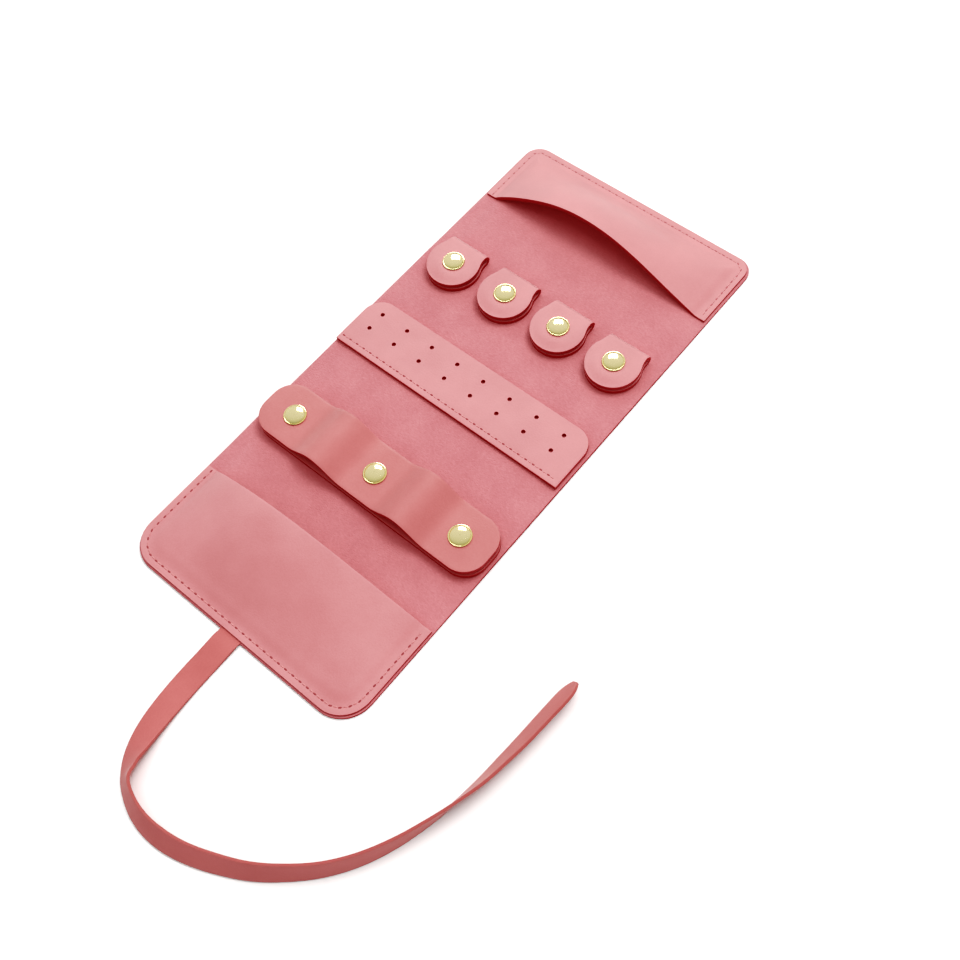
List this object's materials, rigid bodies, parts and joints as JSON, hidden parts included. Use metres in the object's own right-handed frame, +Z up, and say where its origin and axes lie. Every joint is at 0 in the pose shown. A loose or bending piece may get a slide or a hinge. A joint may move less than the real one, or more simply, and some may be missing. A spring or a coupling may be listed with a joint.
{
  "type": "jewelry roll",
  "caption": "Roll-up leather jewelry organiser laid open: a folding sheet with sewn end pockets, a snap-down ring bar, a punched earring strip, snap tabs for chains and a tie strap.",
  "frame": {"origin": "middle of the open sheet's underside, on the table", "axes": "+X across the sheet, +Y along the sheet from the strap end to the top end, +Z up off the table"},
  "size_m": [0.1398, 0.2617, 0.0133],
  "materials": {
    "pink_leather": "soft matt grain",
    "polished_brass": "polished",
    "plated_steel": "plated"
  },
  "bodies": {
    "strap_end_panel": {"sheet_strap_end": "pink_leather", "lower_pocket": "pink_leather", "tie_strap": "pink_leather"},
    "rings_panel": {"sheet_rings": "pink_leather", "ring_bar_base": "pink_leather", "ring_strap_middle": "pink_leather", "ring_snap_middle_cap": "polished_brass", "ring_snap_middle_socket": "plated_steel", "ring_snap_middle_stud": "plated_steel", "ring_snap_left_stud": "plated_steel", "ring_snap_right_stud": "plated_steel"},
    "ring_wing_left": {"ring_strap_left": "pink_leather", "ring_snap_left_cap": "polished_brass", "ring_snap_left_socket": "plated_steel"},
    "ring_wing_right": {"ring_strap_right": "pink_leather", "ring_snap_right_cap": "polished_brass", "ring_snap_right_socket": "plated_steel"},
    "earrings_panel": {"sheet_earrings": "pink_leather", "earring_hem": "pink_leather"},
    "earring_flap_body": {"earring_flap": "pink_leather"},
    "chains_panel": {"sheet_chains": "pink_leather", "chain_tab_1_base": "pink_leather", "chain_snap_1_stud": "plated_steel", "chain_tab_2_base": "pink_leather", "chain_snap_2_stud": "plated_steel", "chain_tab_3_base": "pink_leather", "chain_snap_3_stud": "plated_steel", "chain_tab_4_base": "pink_leather", "chain_snap_4_stud": "plated_steel"},
    "top_end_panel": {"sheet_top_end": "pink_leather", "upper_pocket": "pink_leather"},
    "chain_leaf_1": {"chain_tab_1_leaf": "pink_leather", "chain_snap_1_cap": "polished_brass", "chain_snap_1_socket": "plated_steel"},
    "chain_leaf_2": {"chain_tab_2_leaf": "pink_leather", "chain_snap_2_cap": "polished_brass", "chain_snap_2_socket": "plated_steel"},
    "chain_leaf_3": {"chain_tab_3_leaf": "pink_leather", "chain_snap_3_cap": "polished_brass", "chain_snap_3_socket": "plated_steel"},
    "chain_leaf_4": {"chain_tab_4_leaf": "pink_leather", "chain_snap_4_cap": "polished_brass", "chain_snap_4_socket": "plated_steel"}
  },
  "joints": [
    {"name": "fold_rings", "type": "hinge", "parent": "strap_end_panel", "child": "rings_panel", "pos_m": [0, -0.0577, 0.0013], "axis": [-1, 0, 0], "range_deg": [-90, 0]},
    {"name": "fold_earrings", "type": "hinge", "parent": "rings_panel", "child": "earrings_panel", "pos_m": [0, -0.0108, 0.0013], "axis": [-1, 0, 0], "range_deg": [-85, 0]},
    {"name": "fold_chains", "type": "hinge", "parent": "earrings_panel", "child": "chains_panel", "pos_m": [0, 0.0293, 0.0013], "axis": [-1, 0, 0], "range_deg": [-90, 0]},
    {"name": "fold_top_end", "type": "hinge", "parent": "chains_panel", "child": "top_end_panel", "pos_m": [0, 0.0715, 0.0013], "axis": [-1, 0, 0], "range_deg": [-105, 0]},
    {"name": "lift_earring_flap", "type": "hinge", "parent": "earrings_panel", "child": "earring_flap_body", "pos_m": [0, -0.0003, 0.0028], "axis": [1, 0, 0], "range_deg": [0, 100]},
    {"name": "lift_ring_wing_left", "type": "hinge", "parent": "rings_panel", "child": "ring_wing_left", "pos_m": [-0.007, -0.0368, 0.0057], "axis": [0, 1, 0], "range_deg": [0, 80]},
    {"name": "lift_ring_wing_right", "type": "hinge", "parent": "rings_panel", "child": "ring_wing_right", "pos_m": [0.007, -0.0368, 0.0057], "axis": [0, -1, 0], "range_deg": [0, 80]},
    {"name": "lift_chain_leaf_1", "type": "hinge", "parent": "chains_panel", "child": "chain_leaf_1", "pos_m": [-0.034, 0.0502, 0.0036], "axis": [-1, 0, 0], "range_deg": [0, 110]},
    {"name": "lift_chain_leaf_2", "type": "hinge", "parent": "chains_panel", "child": "chain_leaf_2", "pos_m": [-0.01133, 0.0502, 0.0036], "axis": [-1, 0, 0], "range_deg": [0, 110]},
    {"name": "lift_chain_leaf_3", "type": "hinge", "parent": "chains_panel", "child": "chain_leaf_3", "pos_m": [0.01133, 0.0502, 0.0036], "axis": [-1, 0, 0], "range_deg": [0, 110]},
    {"name": "lift_chain_leaf_4", "type": "hinge", "parent": "chains_panel", "child": "chain_leaf_4", "pos_m": [0.034, 0.0502, 0.0036], "axis": [-1, 0, 0], "range_deg": [0, 110]}
  ]
}
